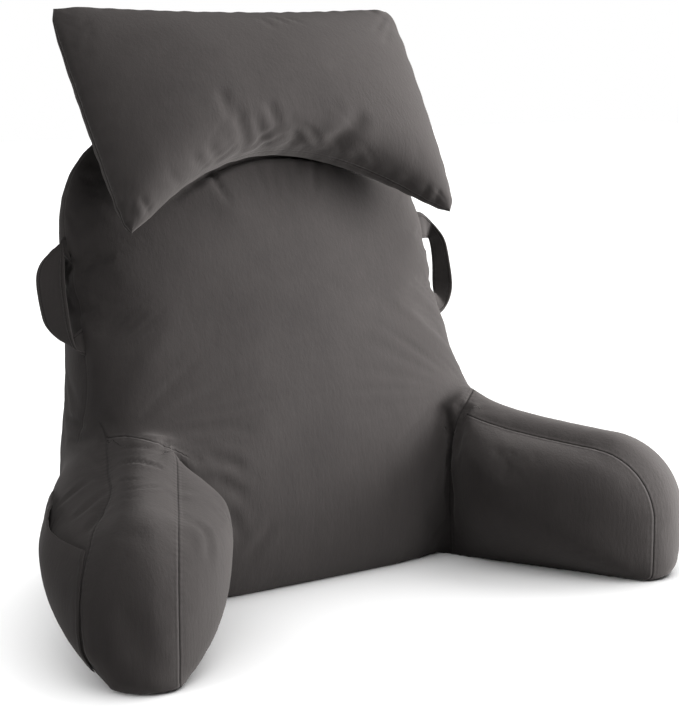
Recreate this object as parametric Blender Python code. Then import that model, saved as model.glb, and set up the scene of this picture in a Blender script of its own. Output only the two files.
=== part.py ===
"""Reading pillow: a filled backrest with two splayed arms, an arched head pillow, two carry straps
and a side pocket.

Metres, +Z up. The side that a person leans on faces -Y, +X is to the right of someone looking at it,
and the origin lies on the floor under the middle of the whole object.
"""
import math

import bmesh
import bpy
import numpy as np

# Driving dimensions
FLOOR_EDGE_Y = -0.034      # front lower edge of the backrest's face
SEAT_GAP = 0.0003          # space left between pieces that touch
FABRIC_COLOUR = (0.052, 0.046, 0.044, 1.0)
FABRIC_ROUGHNESS = 0.92

# Backrest: one row for each horizontal section, from the floor up. half_width is at side_y, the depth
# of the widest point; front and rear are how far the section reaches before and behind it; the powers
# say how square its corners are.
BACK_COLUMNS = ("height", "half_width", "side_y", "front", "front_power", "rear", "rear_power")
BACK_SECTIONS = (
    (0.000, 0.252, 0.078, 0.108, 3.6, 0.155, 2.6),
    (0.012, 0.270, 0.078, 0.114, 3.6, 0.172, 2.5),
    (0.045, 0.283, 0.078, 0.120, 3.6, 0.190, 2.4),
    (0.100, 0.290, 0.076, 0.120, 3.6, 0.200, 2.3),
    (0.160, 0.290, 0.070, 0.107, 3.5, 0.2075, 2.3),
    (0.220, 0.284, 0.064, 0.086, 3.2, 0.2135, 2.35),
    (0.260, 0.277, 0.066, 0.074, 2.7, 0.212, 2.4),
    (0.300, 0.272, 0.078, 0.070, 2.4, 0.199, 2.4),
    (0.350, 0.270, 0.098, 0.070, 2.2, 0.171, 2.3),
    (0.400, 0.270, 0.117, 0.068, 2.2, 0.140, 2.2),
    (0.450, 0.268, 0.136, 0.065, 2.2, 0.108, 2.1),
    (0.485, 0.260, 0.148, 0.061, 2.2, 0.089, 2.1),
    (0.515, 0.245, 0.158, 0.056, 2.2, 0.072, 2.1),
    (0.540, 0.224, 0.165, 0.049, 2.2, 0.057, 2.1),
    (0.562, 0.194, 0.171, 0.040, 2.2, 0.043, 2.1),
    (0.580, 0.155, 0.175, 0.029, 2.2, 0.030, 2.1),
    (0.593, 0.108, 0.178, 0.018, 2.2, 0.019, 2.1),
    (0.600, 0.060, 0.180, 0.008, 2.2, 0.009, 2.1),
)
BACK_RING_POINTS = 52

# Arms: a long strip, the band, runs over the crest and down the front between two puffed side panels.
ARM_CORNER_X = 0.208       # inner side of the arm where it leaves the backrest
ARM_SPLAY = math.radians(28.8)
ARM_REAR = -0.150          # rear end, inside the backrest, from the corner
ARM_FRONT = 0.278          # seam at the front end, from the corner
ARM_REAR_RADIUS = 0.060
ARM_CREST_FALL = 0.020     # drop of the crest from the backrest to the front end
ARM_CREST_RISE = 0.018     # extra rise of the crest where it runs into the backrest
ARM_CREST_RISE_RUN = 0.035
ARM_SEAM_TOP_FRONT = 0.165
ARM_TOP_RADIUS = 0.088
ARM_FOOT_RADIUS = 0.012
BAND_WIDTH_FOOT = 0.072
BAND_WIDTH_FRONT = 0.102
BAND_WIDTH_CREST = 0.082
PANEL_WIDTH_CENTRE = 0.096  # distance between the side panels, without their bulge, at their fullest
BAND_CROWN = 0.017
BAND_CROWN_FOOT = 0.80     # share of its crown that the band's front end has where it meets the floor
BAND_CROWN_RISE = 0.015    # height at which it has its full crown
SIDE_BULGE_INNER = 0.057
SIDE_BULGE_OUTER_REAR = 0.062
SIDE_BULGE_OUTER_FRONT = 0.043
SIDE_BULGE_RUN = (-0.02, 0.17)  # between these places along the arm the outer bulge lessens
INNER_PUFF_RUN = 0.100         # the inner panel is flat at the backrest and full after this run
SIDE_CENTRE = (0.060, 0.122)   # fullest point of the side panels, along the arm and up
SIDE_POWER_FULL = 3.2          # towards crest, front and rear
SIDE_POWER_FOOT = 1.6          # towards the floor
ARM_FLOOR_POINTS = 12
ARM_EDGE_POINTS = 48
ARM_BAND_STEPS = 4
ARM_PANEL_RINGS = 9

# Head pillow: a cushion with an arched lower edge, leaning over the top of the backrest.
HEAD_FOOT_Y = 0.016        # depth and height of its lower corners
HEAD_FOOT_Z = 0.456
HEAD_LEAN = math.radians(30.8)
HEAD_HEIGHT = 0.307
HEAD_HALF_WIDTH_FOOT = 0.244
HEAD_HALF_WIDTH_TOP = 0.257
HEAD_ARCH = 0.089
HEAD_TOP_DIP = 0.013
HEAD_HALF_THICKNESS = 0.062
HEAD_STEPS_ACROSS = 32
HEAD_STEPS_UP = 16
# Folds of its face: start and end as shares of the half width and of the height, then width and depth.
HEAD_FOLD_COLUMNS = ("x0", "v0", "x1", "v1", "width", "depth")
HEAD_FOLDS = (
    (-0.16, 0.10, -0.42, 0.62, 0.016, 0.0060),
    (0.02, 0.10, -0.05, 0.60, 0.016, 0.0060),
    (0.20, 0.10, 0.36, 0.55, 0.015, 0.0045),
    (0.46, 0.16, 0.70, 0.50, 0.017, 0.0050),
    (-0.52, 0.18, -0.78, 0.55, 0.018, 0.0050),
)

# Carry straps: both ends are sewn into the side seam of the backrest's face.
# Rows run down a strap, from its upper end to its lower end. For its front and its rear edge: height,
# distance out from the backrest's side and distance behind the seam.
STRAP_THICKNESS = 0.003
STRAP_STEPS = 20
STRAP_SIDE_X = 0.270       # side of the backrest between the ends of a strap
STRAP_COLUMNS = ("front_z", "front_out", "front_back", "rear_z", "rear_out", "rear_back")
STRAP_LEFT_PATH = (
    (0.441, -0.006, 0.000, 0.409, -0.006, 0.000),
    (0.438, 0.007, 0.001, 0.411, 0.007, 0.005),
    (0.420, 0.0085, 0.000, 0.412, 0.014, 0.021),
    (0.404, 0.009, 0.000, 0.403, 0.021, 0.036),
    (0.380, 0.0095, 0.000, 0.384, 0.026, 0.043),
    (0.352, 0.0105, 0.000, 0.352, 0.027, 0.043),
    (0.330, 0.0115, 0.000, 0.332, 0.025, 0.040),
    (0.312, 0.010, 0.000, 0.318, 0.0165, 0.024),
    (0.304, 0.004, 0.000, 0.324, 0.007, 0.008),
    (0.300, -0.006, 0.000, 0.335, -0.006, 0.000),
)
STRAP_RIGHT_PATH = (
    (0.443, -0.006, 0.000, 0.407, -0.006, 0.000),
    (0.441, 0.007, 0.001, 0.406, 0.007, 0.005),
    (0.433, 0.019, 0.003, 0.404, 0.021, 0.020),
    (0.420, 0.032, 0.006, 0.401, 0.037, 0.036),
    (0.401, 0.041, 0.004, 0.388, 0.043, 0.043),
    (0.370, 0.038, 0.000, 0.366, 0.039, 0.042),
    (0.342, 0.034, 0.000, 0.344, 0.033, 0.042),
    (0.324, 0.025, 0.001, 0.330, 0.024, 0.034),
    (0.311, 0.012, 0.001, 0.330, 0.012, 0.014),
    (0.302, -0.006, 0.000, 0.338, -0.006, 0.000),
)

# Pocket: a sheet on the outer side of the left arm, open along its upper edge. Its front edge follows the
# seam of the band.
POCKET_THICKNESS = 0.003
POCKET_SEAM_INSET = 0.006
POCKET_REAR = 0.026
POCKET_FOOT = 0.022
POCKET_MOUTH_FRONT = 0.146
POCKET_MOUTH_REAR = 0.160
POCKET_MOUTH_SAG = 0.004
POCKET_EDGE_GAP = 0.0016
POCKET_MOUTH_GAP = 0.013
POCKET_STEPS_ALONG = 16
POCKET_STEPS_UP = 9


def clear_scene():
    """Removes what a new file holds."""
    for old in list(bpy.data.objects):
        bpy.data.objects.remove(old, do_unlink=True)


def fabric(name):
    """Material of one piece."""
    material = bpy.data.materials.new(name)
    material.use_nodes = True
    shader = material.node_tree.nodes["Principled BSDF"]
    shader.inputs["Base Color"].default_value = FABRIC_COLOUR
    shader.inputs["Roughness"].default_value = FABRIC_ROUGHNESS
    shader.inputs["Metallic"].default_value = 0.0
    return material


def add_object(name, points, faces):
    """One closed, outward facing mesh object."""
    mesh = bpy.data.meshes.new(name)
    mesh.from_pydata([tuple(p) for p in points], [], faces)
    work = bmesh.new()
    work.from_mesh(mesh)
    bmesh.ops.triangulate(work, faces=work.faces, quad_method="FIXED")
    bmesh.ops.recalc_face_normals(work, faces=work.faces)
    work.to_mesh(mesh)
    work.free()
    mesh.shade_smooth()
    piece = bpy.data.objects.new(name, mesh)
    bpy.context.scene.collection.objects.link(piece)
    mesh.materials.append(fabric(name + "_fabric"))
    return piece


def cut_clear(piece, cutter):
    """Takes the cutter's space out of a piece, so that the two meet face to face."""
    cut = piece.modifiers.new("seat", "BOOLEAN")
    cut.operation = "DIFFERENCE"
    cut.solver = "EXACT"
    cut.object = cutter


def swell(cutter, distance):
    """Moves a cutter's whole surface outward."""
    grown = cutter.modifiers.new("clearance", "DISPLACE")
    grown.direction = "NORMAL"
    grown.mid_level = 0.0
    grown.strength = distance


def hide_cutter(cutter):
    """A cutter shapes other pieces and isn't one itself."""
    cutter.hide_render = True
    cutter.display_type = "WIRE"


def signed_power(value, power):
    """A power that keeps the sign."""
    return np.sign(value) * np.abs(value) ** power


def smooth_rows(rows, positions):
    """Reads a table at any height, on a smooth curve through its rows."""
    rows = np.asarray(rows, float)
    at = rows[:, 0]
    slopes = np.gradient(rows, at, axis=0)
    found = []
    for position in positions:
        low = int(np.clip(np.searchsorted(at, position) - 1, 0, len(at) - 2))
        span = at[low + 1] - at[low]
        t = (position - at[low]) / span
        value = (2 * t**3 - 3 * t**2 + 1) * rows[low] + (3 * t**2 - 2 * t**3) * rows[low + 1]
        value += span * ((t**3 - 2 * t**2 + t) * slopes[low] + (t**3 - t**2) * slopes[low + 1])
        found.append(value)
    return np.array(found)


def back_section(height, grow=0.0):
    """Ring of points round the backrest at one height."""
    row = dict(zip(BACK_COLUMNS, smooth_rows(BACK_SECTIONS, [height])[0]))
    angles = np.linspace(0, 2 * math.pi, BACK_RING_POINTS, endpoint=False)
    side, depth = np.cos(angles), np.sin(angles)
    power = np.where(depth < 0, row["front_power"], row["rear_power"])
    reach = np.where(depth < 0, row["front"], row["rear"]) + grow
    x = (row["half_width"] + grow) * signed_power(side, 2 / power)
    y = row["side_y"] + reach * signed_power(depth, 2 / power)
    return np.column_stack([x, y, np.full(len(angles), height)])


def back_heights():
    """Heights of the rings: those of the table, and one between where it is sparse."""
    rows = [row[0] for row in BACK_SECTIONS]
    between = [(a + b) / 2 for a, b in zip(rows, rows[1:]) if b - a > 0.03]
    return sorted(rows + between)


def make_backrest(name, grow=0.0):
    """Backrest: stacked sections with a flat base and a small flat top."""
    rings = [back_section(height, grow) for height in back_heights()]
    rings[0][:, 2] -= grow
    rings[-1][:, 2] += grow
    points = np.concatenate(rings)
    count = BACK_RING_POINTS
    faces = [list(range(count))]
    for low in range(len(rings) - 1):
        for i in range(count):
            j = (i + 1) % count
            base = low * count
            faces.append([base + i, base + j, base + count + j, base + count + i])
    faces.append(list(range(len(points) - count, len(points))))
    return add_object(name, points, faces)


def seam_y(height):
    """Depth of the side seam of the backrest's face."""
    return float(smooth_rows(BACK_SECTIONS, [height])[0][2])


def crest_height(along):
    """Height of the seams along the crest of an arm."""
    fall = ARM_CREST_FALL * (1 - along / (ARM_FRONT - ARM_TOP_RADIUS))
    rise = ARM_CREST_RISE * np.exp(-np.maximum(0, along) / ARM_CREST_RISE_RUN)
    return ARM_SEAM_TOP_FRONT + np.minimum(fall, ARM_CREST_FALL) + rise


def arm_outline():
    """Seam of an arm's side panel, along the arm and up, from its rear foot round to its rear top."""
    def arc(centre_along, centre_up, radius, start, end, steps):
        turns = np.radians(np.linspace(start, end, steps))
        return np.column_stack([centre_along + radius * np.cos(turns), centre_up + radius * np.sin(turns)])

    rear = ARM_REAR + ARM_REAR_RADIUS
    front = ARM_FRONT - ARM_TOP_RADIUS
    crest_along = np.linspace(front - 0.01, rear, 16)
    closed = np.vstack([
        arc(rear, ARM_REAR_RADIUS, ARM_REAR_RADIUS, -90, -90, 1),
        arc(ARM_FRONT - ARM_FOOT_RADIUS, ARM_FOOT_RADIUS, ARM_FOOT_RADIUS, -90, 0, 6),
        arc(front, ARM_SEAM_TOP_FRONT - ARM_TOP_RADIUS, ARM_TOP_RADIUS, 0, 88, 14),
        np.column_stack([crest_along, crest_height(crest_along)]),
        arc(rear, crest_height(rear) - ARM_REAR_RADIUS, ARM_REAR_RADIUS, 90, 180, 8),
        arc(rear, ARM_REAR_RADIUS, ARM_REAR_RADIUS, 180, 270, 8),
    ])
    floor = np.linspace(closed[0], closed[1], ARM_FLOOR_POINTS, endpoint=False)
    edge = closed[1:]
    length = np.concatenate([[0], np.cumsum(np.hypot(*np.diff(edge, axis=0).T))])
    wanted = np.linspace(0, length[-1], ARM_EDGE_POINTS, endpoint=False)
    return np.vstack([floor, np.column_stack([np.interp(wanted, length, edge[:, k]) for k in (0, 1)])])


def outline_directions(outline):
    """Direction out of an arm's outline at each of its points."""
    along = np.roll(outline, -1, axis=0) - np.roll(outline, 1, axis=0)
    along /= np.linalg.norm(along, axis=1)[:, None]
    return np.column_stack([along[:, 1], -along[:, 0]])


def band_width(outline):
    """Width of the band: narrow under the foot, widest down the front, between on the crest."""
    up = np.clip(outline[:, 1] / ARM_SEAM_TOP_FRONT, 0, 1)
    forward = np.clip((outline[:, 0] - ARM_FRONT * 0.7) / (ARM_FRONT * 0.3), 0, 1)
    level = BAND_WIDTH_CREST + (BAND_WIDTH_FRONT - BAND_WIDTH_CREST) * forward
    return BAND_WIDTH_FOOT + (level - BAND_WIDTH_FOOT) * np.minimum(1, up * 4)


def panel_place(along, up):
    """Share of its full bulge that a side panel has at a place, and the width from which it bulges."""
    outline = arm_outline()
    rays = outline - np.array(SIDE_CENTRE)
    turns = np.arctan2(rays[:, 1], rays[:, 0])
    order = np.argsort(turns)
    turn = math.atan2(up - SIDE_CENTRE[1], along - SIDE_CENTRE[0])
    reach = np.interp(turn, turns[order], np.hypot(*rays.T)[order], period=2 * math.pi)
    width = np.interp(turn, turns[order], band_width(outline)[order], period=2 * math.pi)
    share = min(1.0, math.hypot(along - SIDE_CENTRE[0], up - SIDE_CENTRE[1]) / reach)
    base = PANEL_WIDTH_CENTRE + (width - PANEL_WIDTH_CENTRE) * share**2
    return 1 - share ** side_power(turn), base


def side_power(turn):
    """A side panel is full towards its crest and ends, and slack towards the floor."""
    return SIDE_POWER_FULL + (SIDE_POWER_FOOT - SIDE_POWER_FULL) * max(0.0, -math.sin(turn))


def outer_bulge(along):
    """Full bulge of the outer panel: it lessens from the backrest to the front."""
    start, end = SIDE_BULGE_RUN
    t = np.clip((along - start) / (end - start), 0, 1)
    return SIDE_BULGE_OUTER_REAR + (SIDE_BULGE_OUTER_FRONT - SIDE_BULGE_OUTER_REAR) * (3 * t**2 - 2 * t**3)


def inner_bulge(along):
    """Full bulge of the inner panel: its rear edge is held flat by the seam at the backrest."""
    return SIDE_BULGE_INNER * np.sin(np.clip(along / INNER_PUFF_RUN, 0, 1) * math.pi / 2)


def arm_to_world(along, across, up, side):
    """Place on an arm, given along it, out from its inner seam and up. side is -1 for the left arm."""
    x = ARM_CORNER_X + math.sin(ARM_SPLAY) * along + math.cos(ARM_SPLAY) * across
    y = FLOOR_EDGE_Y - math.cos(ARM_SPLAY) * along + math.sin(ARM_SPLAY) * across
    return (side * x, y, up)


def arm_rings():
    """Rings from the middle of the inner panel, over the band, to the middle of the outer panel."""
    outline = arm_outline()
    out = outline_directions(outline)
    width = band_width(outline)
    under = (outline[:, 1] < ARM_FOOT_RADIUS) & (outline[:, 0] < ARM_FRONT - ARM_FOOT_RADIUS - 0.001)
    front_foot = (outline[:, 1] < ARM_FOOT_RADIUS) & ~under
    out[front_foot] = (1.0, 0.0)
    rise = np.minimum(1, outline[:, 1] / BAND_CROWN_RISE)
    crown = BAND_CROWN * np.where(under, 0.0, BAND_CROWN_FOOT + (1 - BAND_CROWN_FOOT) * rise)
    rings = []
    centre = np.array(SIDE_CENTRE)
    turns = np.arctan2(*(outline - centre).T[::-1])
    powers = np.array([side_power(turn) for turn in turns])
    shares = np.sin(np.linspace(0.14, 1, ARM_PANEL_RINGS) * math.pi / 2)
    for share in shares[:-1]:
        flat = centre + (outline - centre) * share
        puff = inner_bulge(flat[:, 0]) * (1 - share**powers)
        rings.append(np.column_stack([flat[:, 0], -puff, flat[:, 1]]))
    for step in range(ARM_BAND_STEPS + 1):
        place = step / ARM_BAND_STEPS
        lift = crown * (1 - (2 * place - 1) ** 2)
        flat = outline + out * lift[:, None]
        rings.append(np.column_stack([flat[:, 0], width * place, flat[:, 1]]))
    for share in shares[-2::-1]:
        flat = centre + (outline - centre) * share
        puff = outer_bulge(flat[:, 0]) * (1 - share**powers)
        base = PANEL_WIDTH_CENTRE + (width - PANEL_WIDTH_CENTRE) * share**2
        rings.append(np.column_stack([flat[:, 0], base + puff, flat[:, 1]]))
    return rings


def make_arm(name, side):
    """Arm: its band and both side panels as one filled solid."""
    rings = arm_rings()
    count = len(rings[0])
    points = [arm_to_world(*place, side) for ring in rings for place in ring]
    faces = [list(range(count))]
    for ring in range(len(rings) - 1):
        for i in range(count):
            j = (i + 1) % count
            base = ring * count
            faces.append([base + i, base + j, base + count + j, base + count + i])
    faces.append(list(range(len(points) - count, len(points))))
    return add_object(name, points, faces)


def head_fold(x_share, v):
    """Depth of the folds in the head pillow's face."""
    x = x_share * HEAD_HALF_WIDTH_TOP
    up = v * HEAD_HEIGHT
    depth = 0.0
    for row in HEAD_FOLDS:
        fold = dict(zip(HEAD_FOLD_COLUMNS, row))
        start = np.array([fold["x0"] * HEAD_HALF_WIDTH_TOP, fold["v0"] * HEAD_HEIGHT])
        run = np.array([fold["x1"] * HEAD_HALF_WIDTH_TOP, fold["v1"] * HEAD_HEIGHT]) - start
        t = np.dot(np.array([x, up]) - start, run) / np.dot(run, run)
        near = start + run * min(1.0, max(0.0, t))
        away = math.hypot(x - near[0], up - near[1])
        fade = 1 - 0.6 * min(1.0, max(0.0, t))
        depth += fold["depth"] * fade * math.exp(-((away / fold["width"]) ** 2))
    return depth


def head_place(s, w, face):
    """Place on the head pillow: s from side to side and w from foot to top, each -1 to 1."""
    v = (w + 1) / 2
    foot = HEAD_ARCH * math.cos(math.pi / 2 * s) ** 1.1 if abs(s) < 1 else 0.0
    top = HEAD_HEIGHT - HEAD_TOP_DIP * (1 - s * s)
    up = foot + (top - foot) * v
    x = s * (HEAD_HALF_WIDTH_FOOT + (HEAD_HALF_WIDTH_TOP - HEAD_HALF_WIDTH_FOOT) * up / HEAD_HEIGHT)
    full = math.sqrt(max(0.0, 1 - abs(s) ** 2.6)) * math.sqrt(max(0.0, 1 - abs(w) ** 2.4))
    lift = HEAD_HALF_THICKNESS * full
    if face > 0:
        lift -= head_fold(s, v) * min(1.0, full * 1.5)
    lift *= face
    y = HEAD_FOOT_Y + up * math.sin(HEAD_LEAN) - lift * math.cos(HEAD_LEAN)
    z = HEAD_FOOT_Z + up * math.cos(HEAD_LEAN) + lift * math.sin(HEAD_LEAN)
    return (x, y, z)


def make_head_pillow(name):
    """Head pillow: a front and a back face that share their seam."""
    across = np.sin(np.linspace(-1, 1, HEAD_STEPS_ACROSS + 1) * math.pi / 2)
    upward = np.sin(np.linspace(-1, 1, HEAD_STEPS_UP + 1) * math.pi / 2)
    points, index = [], {}
    for face in (1, -1):
        for i, s in enumerate(across):
            for j, w in enumerate(upward):
                rim = i in (0, HEAD_STEPS_ACROSS) or j in (0, HEAD_STEPS_UP)
                if rim and face < 0:
                    index[face, i, j] = index[1, i, j]
                    continue
                index[face, i, j] = len(points)
                points.append(head_place(s, w, face))
    faces = []
    for face in (1, -1):
        for i in range(HEAD_STEPS_ACROSS):
            for j in range(HEAD_STEPS_UP):
                ring = [index[face, i, j], index[face, i + 1, j]]
                ring += [index[face, i + 1, j + 1], index[face, i, j + 1]]
                faces.append(ring[::face])
    return add_object(name, points, faces)


def smooth_path(knots, steps):
    """Evenly stepped smooth curve through a few points."""
    knots = np.asarray(knots, float)
    ends = np.vstack([2 * knots[0] - knots[1], knots, 2 * knots[-1] - knots[-2]])
    path = []
    for t in np.linspace(0, len(knots) - 1, steps + 1):
        k = min(int(t), len(knots) - 2)
        f = t - k
        a, b, c, d = ends[k:k + 4]
        path.append(0.5 * (2 * b + (c - a) * f + (2 * a - 5 * b + 4 * c - d) * f**2 + (3 * b - a - 3 * c + d) * f**3))
    return np.array(path)


def strap_edges(path, side):
    """Front and rear edge of a strap, whose ends lie along the seam and whose run is turned outward."""
    before, behind = [], []
    for row in path:
        at = dict(zip(STRAP_COLUMNS, row))
        for edge, knots in (("front", before), ("rear", behind)):
            height = at[edge + "_z"]
            place = (STRAP_SIDE_X + at[edge + "_out"], seam_y(height) + at[edge + "_back"], height)
            knots.append(np.array(place) * (side, 1, 1))
    return smooth_path(before, STRAP_STEPS), smooth_path(behind, STRAP_STEPS)


def make_strap(name, path, side):
    """Strap: a flat ribbon between its two edges."""
    before, behind = strap_edges(path, side)
    middle = (before + behind) / 2
    along = np.gradient(middle, axis=0)
    across = behind - before
    normal = np.cross(along, across)
    normal /= np.linalg.norm(normal, axis=1)[:, None]
    half = normal * STRAP_THICKNESS / 2
    rings = np.stack([before + half, middle + half, behind + half, behind - half, middle - half, before - half], 1)
    count = rings.shape[1]
    points = rings.reshape(-1, 3)
    faces = [list(range(count))]
    for ring in range(len(rings) - 1):
        for i in range(count):
            j = (i + 1) % count
            base = ring * count
            faces.append([base + i, base + j, base + count + j, base + count + i])
    faces.append(list(range(len(points) - count, len(points))))
    return add_object(name, points, faces)


def outer_panel(along, up):
    """Place on the arm's outer panel, along the arm, across it and up."""
    share, base = panel_place(along, up)
    return np.array([along, base + outer_bulge(along) * share, up])


def outer_panel_direction(along, up):
    """Direction out of the arm's outer panel."""
    step = 0.004
    forward = outer_panel(along + step, up) - outer_panel(along - step, up)
    upward = outer_panel(along, up + step) - outer_panel(along, up - step)
    out = np.cross(upward, forward)
    return out / np.linalg.norm(out) * (1 if out[1] > 0 else -1)


def pocket_front(up):
    """Place along the arm of the pocket's front edge."""
    over = max(0.0, up - (ARM_SEAM_TOP_FRONT - ARM_TOP_RADIUS))
    return ARM_FRONT - ARM_TOP_RADIUS + math.sqrt(ARM_TOP_RADIUS**2 - over**2) - POCKET_SEAM_INSET


def make_pocket(name):
    """Pocket: a thin sheet that lies on the arm along its foot and ends and gapes at its mouth."""
    inner, outer = [], []
    for i in range(POCKET_STEPS_ALONG + 1):
        a = i / POCKET_STEPS_ALONG
        mouth = POCKET_MOUTH_REAR + (POCKET_MOUTH_FRONT - POCKET_MOUTH_REAR) * a
        mouth -= POCKET_MOUTH_SAG * math.sin(math.pi * a)
        for j in range(POCKET_STEPS_UP + 1):
            b = j / POCKET_STEPS_UP
            up = POCKET_FOOT + (mouth - POCKET_FOOT) * b
            along = POCKET_REAR + (pocket_front(up) - POCKET_REAR) * a
            open_share = math.sin(math.pi * a) ** 0.7 * math.sin(math.pi / 2 * b) ** 1.2
            gap = POCKET_EDGE_GAP + (POCKET_MOUTH_GAP - POCKET_EDGE_GAP) * open_share
            place, out = outer_panel(along, up), outer_panel_direction(along, up)
            inner.append(arm_to_world(*(place + out * gap), -1))
            outer.append(arm_to_world(*(place + out * (gap + POCKET_THICKNESS)), -1))
    points = inner + outer
    shift = len(inner)
    row = POCKET_STEPS_UP + 1
    faces = []
    for i in range(POCKET_STEPS_ALONG):
        for j in range(POCKET_STEPS_UP):
            ring = [i * row + j, (i + 1) * row + j, (i + 1) * row + j + 1, i * row + j + 1]
            faces.append(ring)
            faces.append([k + shift for k in ring[::-1]])
    rim = [i * row for i in range(POCKET_STEPS_ALONG)]
    rim += [POCKET_STEPS_ALONG * row + j for j in range(POCKET_STEPS_UP)]
    rim += [i * row + POCKET_STEPS_UP for i in range(POCKET_STEPS_ALONG, 0, -1)]
    rim += [j for j in range(POCKET_STEPS_UP, 0, -1)]
    for k, start in enumerate(rim):
        end = rim[(k + 1) % len(rim)]
        faces.append([start, start + shift, end + shift, end])
    return add_object(name, points, faces)


def main():
    """Builds every piece."""
    clear_scene()
    make_backrest("backrest")
    back_cutter = make_backrest("backrest_clearance", SEAT_GAP)
    hide_cutter(back_cutter)
    for name, side in (("arm_left", -1), ("arm_right", 1)):
        cut_clear(make_arm(name, side), back_cutter)
    cut_clear(make_head_pillow("head_pillow"), back_cutter)
    cut_clear(make_strap("strap_left", STRAP_LEFT_PATH, -1), back_cutter)
    cut_clear(make_strap("strap_right", STRAP_RIGHT_PATH, 1), back_cutter)
    arm_cutter = make_arm("arm_left_clearance", -1)
    swell(arm_cutter, SEAT_GAP)
    hide_cutter(arm_cutter)
    cut_clear(make_pocket("pocket"), arm_cutter)


main()
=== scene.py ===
"""Reading pillow: brushed velvet cover, head pillow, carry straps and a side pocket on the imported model.

Metres, +Z up. The side that a person leans on faces -Y, and the left arm is the one at -X.
"""
import math

import bpy
import numpy as np
from mathutils import Matrix, Vector
from mathutils.bvhtree import BVHTree


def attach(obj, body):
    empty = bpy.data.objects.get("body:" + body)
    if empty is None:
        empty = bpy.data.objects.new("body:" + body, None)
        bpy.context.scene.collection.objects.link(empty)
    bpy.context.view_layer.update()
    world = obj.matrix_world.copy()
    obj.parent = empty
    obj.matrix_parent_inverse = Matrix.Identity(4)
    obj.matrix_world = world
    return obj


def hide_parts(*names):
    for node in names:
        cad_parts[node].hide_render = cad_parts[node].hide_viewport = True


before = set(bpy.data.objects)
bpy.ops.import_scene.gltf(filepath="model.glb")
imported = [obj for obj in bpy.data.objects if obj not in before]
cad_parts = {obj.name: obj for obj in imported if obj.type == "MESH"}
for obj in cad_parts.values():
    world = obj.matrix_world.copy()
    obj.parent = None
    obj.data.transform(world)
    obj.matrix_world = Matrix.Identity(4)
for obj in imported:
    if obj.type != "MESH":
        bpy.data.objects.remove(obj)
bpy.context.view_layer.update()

# View of the photograph
IMAGE_WIDTH = 679
IMAGE_HEIGHT = 708
FOCAL_PIXELS = 1800.0
SENSOR_WIDTH = 36.0
CAMERA_AT = np.array([-1.22496, -1.8676, 0.68352])
CAMERA_YAW = math.radians(34.32)
CAMERA_DOWN = math.radians(10.04)

# Backrest: one row for each horizontal section, from the floor up.
BACK_COLUMNS = ("height", "half_width", "side_y", "front", "front_power", "rear", "rear_power")
BACK_SECTIONS = (
    (0.000, 0.252, 0.078, 0.108, 3.6, 0.155, 2.6),
    (0.012, 0.270, 0.078, 0.114, 3.6, 0.172, 2.5),
    (0.045, 0.283, 0.078, 0.120, 3.6, 0.190, 2.4),
    (0.100, 0.290, 0.076, 0.120, 3.6, 0.200, 2.3),
    (0.160, 0.290, 0.070, 0.107, 3.5, 0.2075, 2.3),
    (0.220, 0.284, 0.064, 0.086, 3.2, 0.2135, 2.35),
    (0.260, 0.277, 0.066, 0.074, 2.7, 0.212, 2.4),
    (0.300, 0.272, 0.078, 0.070, 2.4, 0.199, 2.4),
    (0.350, 0.270, 0.098, 0.070, 2.2, 0.171, 2.3),
    (0.400, 0.270, 0.117, 0.068, 2.2, 0.140, 2.2),
    (0.450, 0.268, 0.136, 0.065, 2.2, 0.108, 2.1),
    (0.485, 0.260, 0.148, 0.061, 2.2, 0.089, 2.1),
    (0.515, 0.245, 0.158, 0.056, 2.2, 0.072, 2.1),
    (0.540, 0.224, 0.165, 0.049, 2.2, 0.057, 2.1),
    (0.562, 0.194, 0.171, 0.040, 2.2, 0.043, 2.1),
    (0.580, 0.155, 0.175, 0.029, 2.2, 0.030, 2.1),
    (0.593, 0.108, 0.178, 0.018, 2.2, 0.019, 2.1),
    (0.600, 0.060, 0.180, 0.008, 2.2, 0.009, 2.1),
)

# Arms
FLOOR_EDGE_Y = -0.034
ARM_CORNER_X = 0.208
ARM_SPLAY = math.radians(28.8)
ARM_REAR = -0.150
ARM_FRONT = 0.278
ARM_REAR_RADIUS = 0.060
ARM_CREST_FALL = 0.020
ARM_CREST_RISE = 0.018
ARM_CREST_RISE_RUN = 0.035
ARM_SEAM_TOP_FRONT = 0.165
ARM_TOP_RADIUS = 0.088
ARM_FOOT_RADIUS = 0.012
BAND_WIDTH_FOOT = 0.072
BAND_WIDTH_FRONT = 0.102
BAND_WIDTH_CREST = 0.082
PANEL_WIDTH_CENTRE = 0.096
BAND_CROWN = 0.017
BAND_CROWN_FOOT = 0.80
BAND_CROWN_RISE = 0.015
SIDE_BULGE_INNER = 0.062
SIDE_BULGE_OUTER_REAR = 0.062
SIDE_BULGE_OUTER_FRONT = 0.046
SIDE_BULGE_RUN = (-0.02, 0.17)
INNER_PUFF_RUN = 0.075
SIDE_CENTRE = (0.060, 0.122)
SIDE_POWER_FULL = 3.8
SIDE_POWER_FOOT = 2.0

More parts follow.
